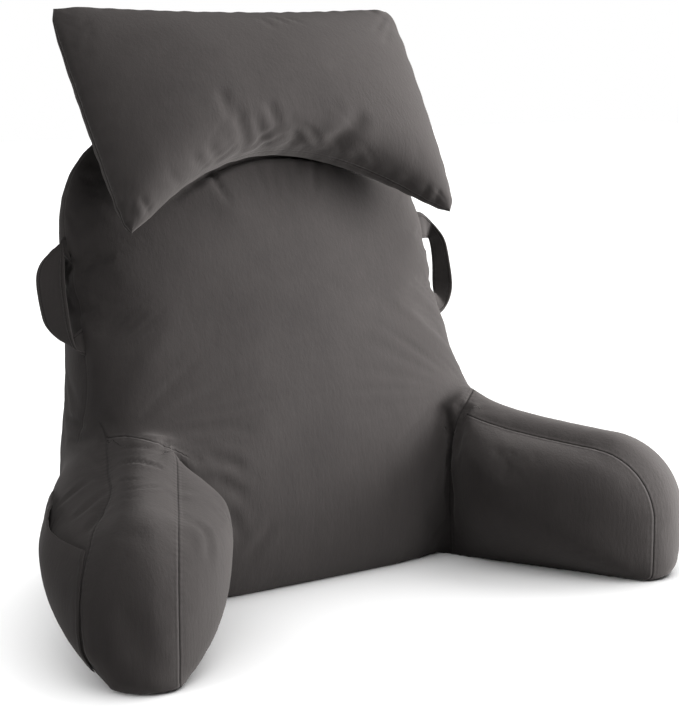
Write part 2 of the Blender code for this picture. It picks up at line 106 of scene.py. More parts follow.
# Head pillow
HEAD_FOOT_Y = 0.016
HEAD_FOOT_Z = 0.456
HEAD_LEAN = math.radians(30.8)
HEAD_HEIGHT = 0.307
HEAD_HALF_WIDTH_FOOT = 0.244
HEAD_HALF_WIDTH_TOP = 0.257
HEAD_ARCH = 0.097
HEAD_TOP_DIP = 0.014
HEAD_HALF_THICKNESS = 0.062
HEAD_FULLEST = -0.35  # where its face is fullest, from -1 at its foot to 1 at its top
HEAD_SIDE_POWER = 3.2
HEAD_FACE_POWER = 2.4
HEAD_CORNER_ROUND = 0.020
HEAD_CORNER_UPRIGHT = 1.6  # how much more its corners draw in up and down than sideways
HEAD_BELLY_DROP = 0.012  # how far its face hangs down over the arched seam
HEAD_BELLY_AT = -0.80  # where it hangs most, on the same scale
HEAD_BELLY_RUN = 0.45
HEAD_BELLY_SIDE = 0.75  # how far to each side it hangs
HEAD_TIP_DROP = 0.019  # how far its lower tips reach down
HEAD_EAR_RISE = 0.007  # how far its upper corners stand up
HEAD_SLANT = 0.006  # how far its top leans towards -X
HEAD_STEPS = (132, 76)
HEAD_FAINT_RUN = 0.62  # share of the arched seam, from the left tip, that hardly shows
HEAD_CLEARANCE = 0.001
CLEAR_REACH = 0.12

# Crack in the cover under the edge of the head pillow
CRACK_BELOW = 0.0035
CRACK_WIDTH = 0.0048
CRACK_DEPTH = 0.013
CRACK_RUN = (0.20, 0.88)  # share of the arched edge where it starts and ends

# Carry straps. The thickness grows from its edge and dips along the stitches.
STRAP_THICKNESS = 0.003
STRAP_EDGE_THIN = 0.55
STRAP_EDGE_GROWTH = 9
STRAP_DIP = 0.25
STRAP_DIP_AT = 0.12
STRAP_DIP_WIDTH = 0.03
STRAP_STITCH_INSET = 0.005
STRAP_SIDE_X = 0.270
STRAP_STEPS = 90
STRAP_COLUMNS = ("front_z", "front_out", "front_back", "rear_z", "rear_out", "rear_back")
STRAP_LEFT_PATH = (
    (0.441, -0.006, 0, 0.409, -0.006, 0),
    (0.438, 0, 0.001, 0.427, 0.006, 0.007),
    (0.420, 0.002, 0, 0.418, 0.014, 0.022),
    (0.404, 0.005, 0, 0.403, 0.022, 0.036),
    (0.380, 0.0085, 0, 0.384, 0.026, 0.043),
    (0.352, 0.0105, 0, 0.352, 0.027, 0.043),
    (0.330, 0.0115, 0, 0.332, 0.025, 0.040),
    (0.312, 0.010, 0, 0.318, 0.0165, 0.024),
    (0.304, 0.004, 0, 0.324, 0.007, 0.008),
    (0.300, -0.006, 0, 0.335, -0.006, 0),
)
STRAP_RIGHT_PATH = (
    (0.443, -0.006, 0, 0.407, -0.006, 0),
    (0.441, 0.007, 0.001, 0.406, 0.007, 0.005),
    (0.433, 0.019, 0.003, 0.404, 0.021, 0.020),
    (0.420, 0.032, 0.006, 0.401, 0.037, 0.036),
    (0.401, 0.041, 0.004, 0.388, 0.043, 0.043),
    (0.370, 0.038, 0, 0.366, 0.039, 0.042),
    (0.342, 0.034, 0, 0.344, 0.033, 0.042),
    (0.324, 0.025, 0.001, 0.330, 0.024, 0.034),
    (0.311, 0.012, 0.001, 0.330, 0.012, 0.014),
    (0.302, -0.006, 0, 0.338, -0.006, 0),
)

# Outer seam of the band, from the backrest to the foot: places along the arm, out from its inner seam and up.
BAND_SEAM_OUTER = (
    (-0.013, 0.084, 0.213),
    (0.021, 0.083, 0.199),
    (0.065, 0.080, 0.186),
    (0.120, 0.076, 0.180),
    (0.165, 0.082, 0.168),
    (0.206, 0.089, 0.161),
    (0.240, 0.095, 0.146),
    (0.262, 0.102, 0.117),
    (0.271, 0.105, 0.085),
    (0.273, 0.103, 0.055),
    (0.272, 0.096, 0.030),
    (0.268, 0.084, 0.010),
)

# Seams seen in the photograph, as image points: at the rear of the right arm's inner panel and over the
# left arm's crest
PANEL_SEAM_SEEN = ((472, 391), (464, 406), (456, 423), (451, 446), (450, 480), (450, 513), (451, 550))
CREST_SEAM_SEEN = ((106, 438), (128, 436), (153, 441), (176, 450))

# Where the inner seam of the band ends along the left and the right arm
INNER_SEAM_START = (0.0, 0.022)

# Seam between the backrest's face and an arm's inner panel, from the floor up, then how it ends on each arm
PANEL_SEAM_FOOT = ((0.208, -0.034, 0), (0.209, -0.028, 0.057), (0.213, -0.022, 0.110), (0.218, -0.016, 0.149))
PANEL_SEAM_TOP = {
    -1: ((0.227, -0.012, 0.176), (0.232, -0.010, 0.186)),
    1: ((0.229, -0.010, 0.180), (0.244, -0.005, 0.204), (0.262, 0.000, 0.215), (0.284, 0.012, 0.219)),
}

# Seam round the backrest's face: the heights of its side, then the middle of its top
SIDE_SEAM_HEIGHTS = (0.215, 0.598)
SIDE_SEAM_TOP = (0.0, 0.180, 0.601)

# How seams pull the surface in: width and depth of the pull, height and length of the puckers beside it, and
# the seed of their waves
BAND_PULL = (0.0040, 0.0010, 0.0005, 0.026, 5)
PANEL_PULL = (0.005, 0.0024, 0.0002, 0.030, 8)
CREST_PULL = (0.006, 0.0014, 0.0002, 0.030, 9)
SIDE_PULL = (0.006, 0.0010, 0.0005, 0.040, 11)
HEAD_PULL = (0.006, 0.0004, 0.0009, 0.031, 3)

# Pocket
POCKET_THICKNESS = 0.0022
POCKET_SEAM_INSET = 0.006
POCKET_REAR = 0.026
POCKET_FOOT = 0.022
POCKET_MOUTH_FRONT = 0.146
POCKET_MOUTH_REAR = 0.160
POCKET_MOUTH_SAG = 0.004
POCKET_EDGE_GAP = 0.0008
POCKET_MOUTH_GAP = 0.013
POCKET_GAPE_START = (0.05, 0.52)
POCKET_GAPE_END = (0.62, 0.99)
POCKET_GAPE_POWER = 1.6
POCKET_HEM_FROM = (0.90, 0.92)
POCKET_HEM_EXTRA = 0.5
POCKET_STITCH_INSET = 0.003
POCKET_STEPS = (90, 56)

# Creases seen in the photograph, each a bent line through three image points, then its width and depth
# in millimetres.
CREASE_COLUMNS = ("u0", "v0", "u1", "v1", "u2", "v2", "width", "depth")
HEAD_CREASES = (
    (219, 84, 226, 104, 233, 126, 8, 2.2),
    (232, 96, 241, 122, 247, 152, 8, 2.8),
    (254, 108, 260, 130, 265, 150, 6.5, 2.4),
    (267, 98, 273, 112, 279, 128, 7, 2.6),
    (366, 108, 352, 128, 324, 150, 12, 4.8),
    (300, 118, 296, 132, 292, 148, 8, 1.6),
    (206, 140, 213, 152, 219, 163, 7, 2.4),
    (188, 150, 198, 162, 206, 172, 7, 2),
    (139, 194, 146, 206, 153, 216, 5, 1.8),
    (165, 168, 174, 178, 182, 188, 6, 1.4),
    (326, 67, 341, 61, 358, 56, 3, 0.9),
    (256, 17, 266, 22, 277, 30, 3, 1.2),
    (268, 16, 280, 20, 292, 26, 3, 1.2),
    (282, 17, 294, 20, 306, 25, 3, 1),
    (66, 42, 78, 30, 92, 20, 5, 1.4),
    (80, 52, 88, 38, 94, 26, 5, 1.2),
    (72, 70, 84, 58, 98, 50, 5, 1.2),
    (82, 100, 94, 90, 108, 84, 5.5, 1.2),
    (92, 128, 104, 116, 120, 106, 6, 1.4),
    (98, 148, 108, 136, 120, 126, 6, 1.2),
    (430, 180, 426, 190, 421, 200, 4, 1),
    (440, 186, 438, 195, 434, 205, 3.5, 0.9),
    (126, 190, 122, 204, 120, 218, 4, 1.4),
    (134, 196, 130, 210, 126, 222, 3.5, 1.2),
    (386, 14, 380, 24, 372, 32, 4, 1.2),
    (392, 22, 388, 34, 382, 44, 4, 1.2),
)
COVER_CREASES = (
    (113, 466, 141, 462, 169, 473, 3.2, 2.4),
    (112, 452, 141, 447, 172, 455, 3, 1.5),
    (116, 480, 128, 480, 142, 478, 3, 1.6),
    (120, 491, 142, 488, 164, 486, 3, 1.8),
    (121, 498, 132, 498, 146, 496, 3, 1),
    (56, 508, 74, 492, 92, 478, 5, 2),
    (68, 523, 86, 508, 103, 492, 5, 2),
    (82, 536, 95, 522, 106, 507, 4.5, 1.8),
    (62, 415, 74, 421, 86, 430, 5, 2),
    (64, 434, 78, 440, 92, 444, 5, 1.6),
    (114, 542, 130, 535, 152, 540, 10, 1),
    (188, 520, 207, 536, 206, 566, 6, 1.4),
    (203, 458, 226, 462, 250, 472, 7, 2),
    (210, 478, 232, 488, 250, 502, 7, 1.6),
    (228, 512, 238, 530, 246, 556, 7, 1.6),
    (244, 560, 262, 540, 276, 520, 7, 1.2),
    (120, 600, 134, 640, 140, 670, 12, 2),
    (430, 500, 438, 480, 446, 460, 6, 1.4),
    (428, 540, 438, 530, 448, 515, 5, 1.2),
)

# Lights on the object, each with its way round from -Y towards +X and its height in degrees, its distance,
# its power in watts and its width. Then the lights on the floor, with their strength and spread in degrees.
LIGHT_AIM = (0.0, 0.0, 0.3)
OBJECT_LIGHTS = (
    ("near", 65, 8, 1.4, 47.0, 0.63),
    ("low", 36, 12, 3.0, 60.0, 1.35),
    ("high", 25, 55, 3.0, 54.0, 1.35),
    ("side", 75, 10, 3.0, 62.0, 1.35),
    ("above", -10, 78, 3.0, 56.0, 1.35),
)
FLOOR_LIGHTS = (
    ("floor_above", 0, 90, 3.65, 100),
    ("floor_right", 105, 47, 1.35, 55),
    ("floor_left", -100, 14, 2.5, 30),
)

# Floor
FLOOR_SPAN = 9.0
FLOOR_HEIGHT = -0.0004
FLOOR_WHITE = (0.90, 0.90, 0.90, 1.0)

# Evening out. Each pair says where a weight starts and ends.
EVEN_SHARE = 0.6  # how far a vertex moves to the middle of its neighbours each time
FOOT_FADE = (0.004, 0.02)
SHOULDER_ACROSS = (0.075, 0.105)
SHOULDER_REAR = (-0.20, -0.14)
SHOULDER_FRONT = (0.01, 0.06)
SHOULDER_TOP = (0.24, 0.30)
SHOULDER_PASSES = 90
CORNER_FADE = (0.012, 0.032)
CORNER_PASSES = 14
TIP_FADE = (0.84, 0.97)
TIP_PASSES = 70

# Cloth simulation
COVER_VOXEL = 0.0055
CLOTH_FRAMES = 20
CLOTH_PRESSURE = 4.0
COVER_START_SHRINK = 0.0005  # how far inside its form the skin starts, to be filled out again
COVER_MOVE = 0.008  # most that the filling moves the cover
HEAD_MOVE = 0.005
FLAT_FOOT = 0.006  # height up to which the cover is held
PANEL_HOLD = (0.004, 0.012)
BAND_HOLD = (0.003, 0.008)
BAND_HOLD_SHARE = 0.8
GATHER_FADE = (0.003, 0.016)
GATHER_BY = 0.012
KEPT_FORM = 0.9  # share of the cloth's broad movement that is taken back, so that its folds stay
FORM_PASSES = 90

# Seams and creases
NEAR_REACH = 0.08  # how far round a path its distance is worked out
FAINT_SEAM = 0.3
SEAM_FADE = (0.014, 0.024)
NO_SEAM = 0.05  # distance given to a place that has no seam near it
CREASE_END = 0.3  # share of a crease over which each end fades
RIDGE_AT = 2.1  # place of the ridges beside a crease, in its widths
COVER_RIDGE = 0.45  # height of those ridges, as a share of the crease's depth
HEAD_RIDGE = 0.15

# Velvet: scale, detail, stretch and roughness of its noises, its colours with the painted shade of its seam
# grooves, and its seams
VELVET_NOISES = (
    (11.0, 5.0, (1, 1, 0.7), 0.6),
    (90.0, 3.0, (1, 1, 0.07), 0.6),
    (900.0, 2.0, (1, 1, 1), 0.55),
    (260.0, 3.0, (1, 1, 0.35), 0.55),
)
VELVET_DARK = (0.0189, 0.0167, 0.0163, 1.0)
VELVET_LIGHT = (0.0294, 0.0263, 0.0255, 1.0)
# Painted shade: the dark colour laid into each seam's groove, where shade falls in the valley of the seam.
SEAM_GROOVE_SHADE = (0.0077, 0.0069, 0.0067, 1.0)
SHEEN_TINT = (0.78, 0.73, 0.71, 1.0)
GROOVE_WIDTH = 0.0011
LIP_AT = 0.0030
LIP_WIDTH = 0.0016
STITCH_PITCH = 0.0034
PUCKER_PITCH = 0.0085
PUCKER_REACH = 0.007


def signed_power(value, power):
    """A power that keeps the sign."""
    return np.sign(value) * np.abs(value) ** power


def smooth_step(value, low, high):
    """0 below low, 1 above high and smooth between."""
    t = np.clip((value - low) / (high - low), 0, 1)
    return t * t * (3 - 2 * t)


def smooth_rows(rows, position):
    """Reads a table at any height, on a smooth curve through its rows."""
    rows = np.asarray(rows, float)
    at = rows[:, 0]
    slopes = np.gradient(rows, at, axis=0)
    low = int(np.clip(np.searchsorted(at, position) - 1, 0, len(at) - 2))
    span = at[low + 1] - at[low]
    t = (position - at[low]) / span
    value = (2 * t**3 - 3 * t**2 + 1) * rows[low] + (3 * t**2 - 2 * t**3) * rows[low + 1]
    value += span * ((t**3 - 2 * t**2 + t) * slopes[low] + (t**3 - t**2) * slopes[low + 1])
    return value


def smooth_path(knots, steps):
    """Evenly stepped smooth curve through a few points."""
    knots = np.asarray(knots, float)
    ends = np.vstack([2 * knots[0] - knots[1], knots, 2 * knots[-1] - knots[-2]])
    path = []
    for t in np.linspace(0, len(knots) - 1, steps + 1):
        k = min(int(t), len(knots) - 2)
        f = t - k
        a, b, c, d = ends[k:k + 4]
        value = 2 * b + (c - a) * f + (2 * a - 5 * b + 4 * c - d) * f**2 + (3 * b - a - 3 * c + d) * f**3
        path.append(0.5 * value)
    return np.array(path)


def add_object(name, data):
    """Object of the scene with its data."""
    made = bpy.data.objects.new(name, data)
    bpy.context.scene.collection.objects.link(made)
    return made


def new_piece(name, points, faces):
    """One mesh object from points and faces."""
    mesh = bpy.data.meshes.new(name)
    mesh.from_pydata([tuple(p) for p in points], [], faces)
    mesh.update()
    mesh.shade_smooth()
    return add_object(name, mesh)


def loft(rings):
    """Points and faces of a closed form through rings of equal length."""
    count = len(rings[0])
    points = np.concatenate(rings)
    faces = []
    for low in range(len(rings) - 1):
        for i in range(count):
            j = (i + 1) % count
            base = low * count
            faces.append((base + i, base + j, base + count + j, base + count + i))
    faces.append(tuple(range(count))[::-1])
    faces.append(tuple(range(len(points) - count, len(points))))
    return points, faces


def grid_cells(across, up):
    """The four steps round each cell of a grid."""
    return [((i, j), (i + 1, j), (i + 1, j + 1), (i, j + 1)) for i in range(across) for j in range(up)]


def grid_rim(across, up):
    """Steps round the rim of a grid, from its first corner."""
    rim = [(i, 0) for i in range(across)] + [(across, j) for j in range(up)]
    return rim + [(i, up) for i in range(across, 0, -1)] + [(0, j) for j in range(up, 0, -1)]


# Meshes as arrays


def places(piece):
    """Vertex places of a piece."""
    co = np.empty(len(piece.data.vertices) * 3)
    piece.data.vertices.foreach_get("co", co)
    return co.reshape(-1, 3)


def set_places(piece, co):
    """Writes vertex places."""
    piece.data.vertices.foreach_set("co", np.ascontiguousarray(co, float).ravel())
    piece.data.update()


def normals(piece):
    """Vertex normals of a piece."""
    out = np.empty(len(piece.data.vertices) * 3, np.float32)
    piece.data.vertex_normals.foreach_get("vector", out)
    return out.reshape(-1, 3).astype(float)


def evened(piece, values, weight, times):
    """Averages rows of values over neighbouring vertices, as far as each vertex's weight allows."""
    edges = np.empty(len(piece.data.edges) * 2, np.int32)
    piece.data.edges.foreach_get("vertices", edges)
    a, b = edges.reshape(-1, 2).T
    values = values.copy()
    count = len(values)
    valence = np.bincount(a, minlength=count) + np.bincount(b, minlength=count)
    for _ in range(times):
        mean = np.empty_like(values)
        for axis in range(3):
            total = np.bincount(a, values[b, axis], count) + np.bincount(b, values[a, axis], count)
            mean[:, axis] = total / np.maximum(valence, 1)
        values += (mean - values) * (EVEN_SHARE * weight)[:, None]
    return values


def smooth(piece, weight, times):
    """Evens out a piece where weight, one number for each vertex, is above 0."""
    set_places(piece, evened(piece, places(piece), weight, times))


def near_path(co, path):
    """Each place's distance from a path, way along it, nearest point and direction there, and its length."""
    path = np.asarray(path, float)
    best = np.full(len(co), np.inf)
    along = np.zeros(len(co))
    nearest = np.zeros_like(co)
    direction = np.zeros_like(co)
    start = 0.0
    low, high = path.min(0) - NEAR_REACH, path.max(0) + NEAR_REACH
    chosen = np.where(np.all((co > low) & (co < high), axis=1))[0]
    part = co[chosen]
    for p, q in zip(path, path[1:]):
        run = q - p
        length = np.linalg.norm(run)
        t = np.clip(((part - p) @ run) / (length * length), 0, 1)
        point = p + t[:, None] * run
        away = np.linalg.norm(part - point, axis=1)
        closer = away < best[chosen]
        who = chosen[closer]
        best[who] = away[closer]
        along[who] = start + t[closer] * length
        nearest[who] = point[closer]
        direction[who] = run / length
        start += length
    return best, along, nearest, direction, start


def crease(piece, path, width, depth, ridge):
    """Presses a soft valley along a path, with a low ridge on each side."""
    co = places(piece)
    away, along, _, _, length = near_path(co, path)
    profile = np.exp(-((away / width) ** 2)) - ridge * np.exp(-(((away - RIDGE_AT * width) / width) ** 2))
    profile[away > 6 * width] = 0
    fade = CREASE_END * length
    ends = smooth_step(along, 0, fade) * smooth_step(length - along, 0, fade)
    set_places(piece, co - normals(piece) * (profile * ends * depth)[:, None])


def camera_axes():
    """Right, up and forward of the photograph's view."""
    level = math.cos(CAMERA_DOWN)
    turn = (math.sin(CAMERA_YAW), math.cos(CAMERA_YAW))
    forward = np.array([turn[0] * level, turn[1] * level, -math.sin(CAMERA_DOWN)])
    right = np.array([turn[1], -turn[0], 0.0])
    return right, np.cross(right, forward), forward


def tree_of(piece):
    """Search tree of a piece's surface."""
    co = [Vector(p) for p in places(piece)]
    return BVHTree.FromPolygons(co, [tuple(f.vertices) for f in piece.data.polygons])


def seen_along(tree, rays):
    """Points of a surface that the camera sees along rays, without those that miss it."""
    hits = [tree.ray_cast(Vector(CAMERA_AT), Vector(ray).normalized())[0] for ray in rays]
    return [np.array(hit) for hit in hits if hit is not None]


def on_surface(tree, image_points):
    """Points of a surface that the photograph shows at image points."""
    right, up, forward = camera_axes()
    rays = [forward * FOCAL_PIXELS + right * (u - IMAGE_WIDTH / 2) + up * (IMAGE_HEIGHT / 2 - v)
            for u, v in image_points]
    return seen_along(tree, rays)


def photo_creases(piece, rows, ridge):
    """Presses the creases that the photograph shows into a piece."""
    tree = tree_of(piece)
    for row in rows:
        at = dict(zip(CREASE_COLUMNS, row))
        ends = [np.array([at["u%d" % k], at["v%d" % k]]) for k in range(3)]
        control = 2 * ends[1] - (ends[0] + ends[2]) / 2
        t = np.linspace(0, 1, 9)[:, None]
        path = on_surface(tree, ends[0] * (1 - t) ** 2 + 2 * control * t * (1 - t) + ends[2] * t**2)
        if len(path) > 2:
            crease(piece, path, at["width"] / 1000, at["depth"] / 1000, ridge)


def remeshed(name, parts, voxel):
    """One closed skin of even faces round several closed forms."""
    points = np.concatenate([p for p, _ in parts])
    faces, shift = [], 0
    for p, f in parts:
        faces += [tuple(i + shift for i in face) for face in f]
        shift += len(p)
    rough = new_piece(name + "_rough", points, faces)
    skin = rough.modifiers.new("Remesh", "REMESH")
    skin.mode = "VOXEL"
    skin.voxel_size = voxel
    skin.use_smooth_shade = True
    mesh = bpy.data.meshes.new_from_object(rough.evaluated_get(bpy.context.evaluated_depsgraph_get()))
    bpy.data.objects.remove(rough, do_unlink=True)
    mesh.name = name
    mesh.shade_smooth()
    return add_object(name, mesh)


def inflate(piece, most, held, tighten=None):
    """Fills a piece as cloth under pressure, by a move that is kept below most.

    held and tighten give each vertex a share from 0 to 1.
    """
    start = places(piece)
    cloth = piece.modifiers.new("Cloth", "CLOTH")
    settings = cloth.settings
    settings.quality = 5
    settings.mass = 0.3
    settings.tension_stiffness = 12
    settings.compression_stiffness = 12
    settings.shear_stiffness = 4
    settings.bending_stiffness = 0.4
    settings.use_pressure = True
    settings.uniform_pressure_force = CLOTH_PRESSURE
    settings.effector_weights.gravity = 0
    for label, share in (("held", held), ("tighten", tighten)):
        if share is None:
            continue
        group = piece.vertex_groups.new(name=label)
        for level in np.unique(np.round(share, 1)):
            if level > 0:
                chosen = np.where(np.round(share, 1) == level)[0]
                group.add([int(i) for i in chosen], float(level), "REPLACE")
    settings.vertex_group_mass = "held"
    if tighten is not None:
        settings.vertex_group_shrink = "tighten"
        settings.shrink_max = GATHER_BY
    cloth.point_cache.frame_start = 1
    cloth.point_cache.frame_end = CLOTH_FRAMES
    scene = bpy.context.scene
    for number in range(1, CLOTH_FRAMES + 1):
        scene.frame_set(number)
    done = piece.evaluated_get(bpy.context.evaluated_depsgraph_get()).to_mesh()
    co = np.empty(len(done.vertices) * 3)
    done.vertices.foreach_get("co", co)
    move = co.reshape(-1, 3) - start
    move -= KEPT_FORM * evened(piece, move, np.ones(len(move)), FORM_PASSES)
    size = np.linalg.norm(move, axis=1)
    move *= np.minimum(1, most / np.maximum(size, 1e-9))[:, None]
    piece.modifiers.remove(cloth)
    piece.vertex_groups.clear()
    scene.frame_set(1)
    set_places(piece, start + move)


def store_seams(piece, side, near, along):
    """Gives each vertex what the velvet reads: distance from a seam, how strong it is and the way along."""
    for label, values in (("seam_side", side), ("seam_near", near), ("seam_along", along)):
        store = piece.data.attributes.new(label, "FLOAT", "POINT")
        store.data.foreach_set("value", np.asarray(values, np.float32))


def mark_seams(piece, paths, faint):
    """Marks the seams for the velvet, with the faint ones weaker than the others."""
    co, out = places(piece), normals(piece)
    best = np.full(len(co), np.inf)
    signed = np.full(len(co), NO_SEAM)
    along_all = np.zeros(len(co))
    strength = np.ones(len(co))
    for path, share in [(path, 1.0) for path in paths] + [(path, FAINT_SEAM) for path in faint]:
        away, along, nearest, direction, _ = near_path(co, path)
        sideways = np.cross(direction, out)
        sideways /= np.maximum(np.linalg.norm(sideways, axis=1), 1e-9)[:, None]
        side = np.einsum("ij,ij->i", co - nearest, sideways)
        closer = away < best
        best[closer] = away[closer]
        signed[closer] = side[closer]
        along_all[closer] = along[closer]
        strength[closer] = share
    store_seams(piece, signed, strength * (1 - smooth_step(best, *SEAM_FADE)), along_all)


def press_seams(piece, paths, width, depth, pucker, pitch, seed):
    """Pulls the surface in along seams and puckers it beside them."""
    co, out = places(piece), normals(piece)
    push = np.zeros(len(co))
    rng = np.random.default_rng(seed)
    for path in paths:
        away, along = near_path(co, path)[:2]
        waves = np.zeros(len(co))
        for _ in range(5):
            stretch = pitch * rng.uniform(0.7, 1.9)
            waves += rng.uniform(0.4, 1.0) * np.sin(2 * math.pi * along / stretch + rng.uniform(0, 6.3))
        beside = np.exp(-(((away - 2.2 * width) / (1.8 * width)) ** 2))
        beside[away > 8 * width] = 0
        push += -depth * np.exp(-((away / width) ** 2)) + pucker * 0.4 * waves * beside
    set_places(piece, co + out * push[:, None])


# Forms of the cover


def back_rings():
    """Fine rings of the backrest."""
    angles = np.linspace(0, 2 * math.pi, 160, endpoint=False)
    side, depth = np.cos(angles), np.sin(angles)
    rings = []
    heights = np.linspace(0, BACK_SECTIONS[-1][0], 90)
    for height in np.unique(np.concatenate([heights, [0.004, 0.008, 0.597]])):
        row = dict(zip(BACK_COLUMNS, smooth_rows(BACK_SECTIONS, height)))
        power = np.where(depth < 0, row["front_power"], row["rear_power"])
        reach = np.where(depth < 0, row["front"], row["rear"])
        x = row["half_width"] * signed_power(side, 2 / power)
        y = row["side_y"] + reach * signed_power(depth, 2 / power)
        rings.append(np.column_stack([x, y, np.full(len(angles), height)]))
    return rings


def seam_y(height):
    """Depth of the side seam of the backrest's face."""
    return float(smooth_rows(BACK_SECTIONS, height)[2])


def crest_height(along):
    """Height of the seams along the crest of an arm."""
    fall = ARM_CREST_FALL * (1 - along / (ARM_FRONT - ARM_TOP_RADIUS))
    rise = ARM_CREST_RISE * np.exp(-np.maximum(0, along) / ARM_CREST_RISE_RUN)
    return ARM_SEAM_TOP_FRONT + np.minimum(fall, ARM_CREST_FALL) + rise


def arm_outline(points=220):
    """Seam of an arm's side panel, along the arm and up, from its rear foot round to its rear top."""
    def arc(centre_along, centre_up, radius, start, end, steps):
        turns = np.radians(np.linspace(start, end, steps))
        return np.column_stack([centre_along + radius * np.cos(turns), centre_up + radius * np.sin(turns)])

    rear = ARM_REAR + ARM_REAR_RADIUS
    front = ARM_FRONT - ARM_TOP_RADIUS
    crest_along = np.linspace(front - 0.01, rear, 40)
    floor = np.linspace((rear, 0.0), (ARM_FRONT - ARM_FOOT_RADIUS, 0.0), points // 3, endpoint=False)
    edge = np.vstack([
        arc(ARM_FRONT - ARM_FOOT_RADIUS, ARM_FOOT_RADIUS, ARM_FOOT_RADIUS, -90, 0, 8),
        arc(front, ARM_SEAM_TOP_FRONT - ARM_TOP_RADIUS, ARM_TOP_RADIUS, 0, 88, 24),
        np.column_stack([crest_along, crest_height(crest_along)]),
        arc(rear, crest_height(rear) - ARM_REAR_RADIUS, ARM_REAR_RADIUS, 90, 180, 12),
        arc(rear, ARM_REAR_RADIUS, ARM_REAR_RADIUS, 180, 270, 12),
    ])
    length = np.concatenate([[0], np.cumsum(np.hypot(*np.diff(edge, axis=0).T))])
    wanted = np.linspace(0, length[-1], points, endpoint=False)
    return np.vstack([floor, np.column_stack([np.interp(wanted, length, edge[:, k]) for k in (0, 1)])])


def band_width(outline):
    """Width of the band: narrow under the foot, widest down the front, between on the crest."""
    up = np.clip(outline[:, 1] / ARM_SEAM_TOP_FRONT, 0, 1)
    forward = np.clip((outline[:, 0] - ARM_FRONT * 0.7) / (ARM_FRONT * 0.3), 0, 1)
    level = BAND_WIDTH_CREST + (BAND_WIDTH_FRONT - BAND_WIDTH_CREST) * forward
    return BAND_WIDTH_FOOT + (level - BAND_WIDTH_FOOT) * np.minimum(1, up * 4)


def arm_to_world(place, side):
    """Places on an arm, given along it, out from its inner seam and up. side is -1 for the left arm."""
    along, across, up = np.asarray(place, float).T
    x = ARM_CORNER_X + math.sin(ARM_SPLAY) * along + math.cos(ARM_SPLAY) * across
    y = FLOOR_EDGE_Y - math.cos(ARM_SPLAY) * along + math.sin(ARM_SPLAY) * across
    return np.column_stack([side * x, y, up])


def arm_rings(side):
    """Fine rings from the middle of the inner panel, over the band, to the middle of the outer panel."""
    outline = arm_outline()
    width = band_width(outline)
    run = np.roll(outline, -1, axis=0) - np.roll(outline, 1, axis=0)
    run /= np.linalg.norm(run, axis=1)[:, None]
    out = np.column_stack([run[:, 1], -run[:, 0]])
    under = (outline[:, 1] < ARM_FOOT_RADIUS) & (outline[:, 0] < ARM_FRONT - ARM_FOOT_RADIUS - 0.001)
    front_foot = (outline[:, 1] < ARM_FOOT_RADIUS) & ~under
    out[front_foot] = (1.0, 0.0)
    rise = np.minimum(1, outline[:, 1] / BAND_CROWN_RISE)
    crown = BAND_CROWN * np.where(under, 0.0, BAND_CROWN_FOOT + (1 - BAND_CROWN_FOOT) * rise)
    centre = np.array(SIDE_CENTRE)
    rays = outline - centre
    turns = np.arctan2(rays[:, 1], rays[:, 0])
    powers = SIDE_POWER_FULL + (SIDE_POWER_FOOT - SIDE_POWER_FULL) * np.maximum(0.0, -np.sin(turns))
    shares = np.sin(np.linspace(0.06, 1, 30) * math.pi / 2)
    rings = []

    def add_ring(flat, across):
        rings.append(arm_to_world(np.column_stack([flat[:, 0], across, flat[:, 1]]), side))

    for share in shares[:-1]:
        flat = centre + rays * share
        bulge = SIDE_BULGE_INNER * np.sin(np.clip(flat[:, 0] / INNER_PUFF_RUN, 0, 1) * math.pi / 2)
        add_ring(flat, -bulge * (1 - share**powers))
    for place in np.linspace(0, 1, 17):
        add_ring(outline + out * (crown * (1 - (2 * place - 1) ** 2))[:, None], width * place)
    for share in shares[-2::-1]:
        flat = centre + rays * share
        lessen = smooth_step(flat[:, 0], *SIDE_BULGE_RUN)
        bulge = SIDE_BULGE_OUTER_REAR + (SIDE_BULGE_OUTER_FRONT - SIDE_BULGE_OUTER_REAR) * lessen
        base = PANEL_WIDTH_CENTRE + (width - PANEL_WIDTH_CENTRE) * share**2
        add_ring(flat, base + bulge * (1 - share**powers))
    return rings[::-1] if side < 0 else rings


def arm_seam(side, outer):
    """Path of one band seam of an arm, from the floor at the front, up and back to the backrest."""
    if outer:
        return arm_to_world(smooth_path(BAND_SEAM_OUTER, 110), side)
    outline = arm_outline()
    start = INNER_SEAM_START[side > 0]
    keep = (outline[:, 0] > start) & ((outline[:, 1] > 0.001) | (outline[:, 0] > ARM_FRONT - ARM_FOOT_RADIUS))
    flat = np.column_stack([outline[:, 0], np.zeros(len(outline)), outline[:, 1]])[keep]
    return arm_to_world(flat, side)


def panel_seam(side):
    """Path of the seam between the backrest's face and an arm's inner panel, from the floor up."""
    return smooth_path(PANEL_SEAM_FOOT + PANEL_SEAM_TOP[side], 40) * (side, 1, 1)


def seen_seams(piece, knots):
    """Path of a seam through image points on one side, and its mirror image on the other, but for its top."""
    tree = tree_of(piece)
    seen = on_surface(tree, smooth_path(knots, 40))
    mirrored = [np.array(tree.find_nearest(Vector(point * (-1, 1, 1)))[0]) for point in seen[20:]]
    return [np.array(seen), np.array(mirrored)]


def side_seam(side):
    """Path of the seam round one side of the backrest's face, from the arm up to the middle of the top."""
    path = []
    for height in np.linspace(*SIDE_SEAM_HEIGHTS, 60):
        row = dict(zip(BACK_COLUMNS, smooth_rows(BACK_SECTIONS, height)))
        path.append((side * row["half_width"], row["side_y"], height))
    path.append(SIDE_SEAM_TOP)
    return np.array(path)


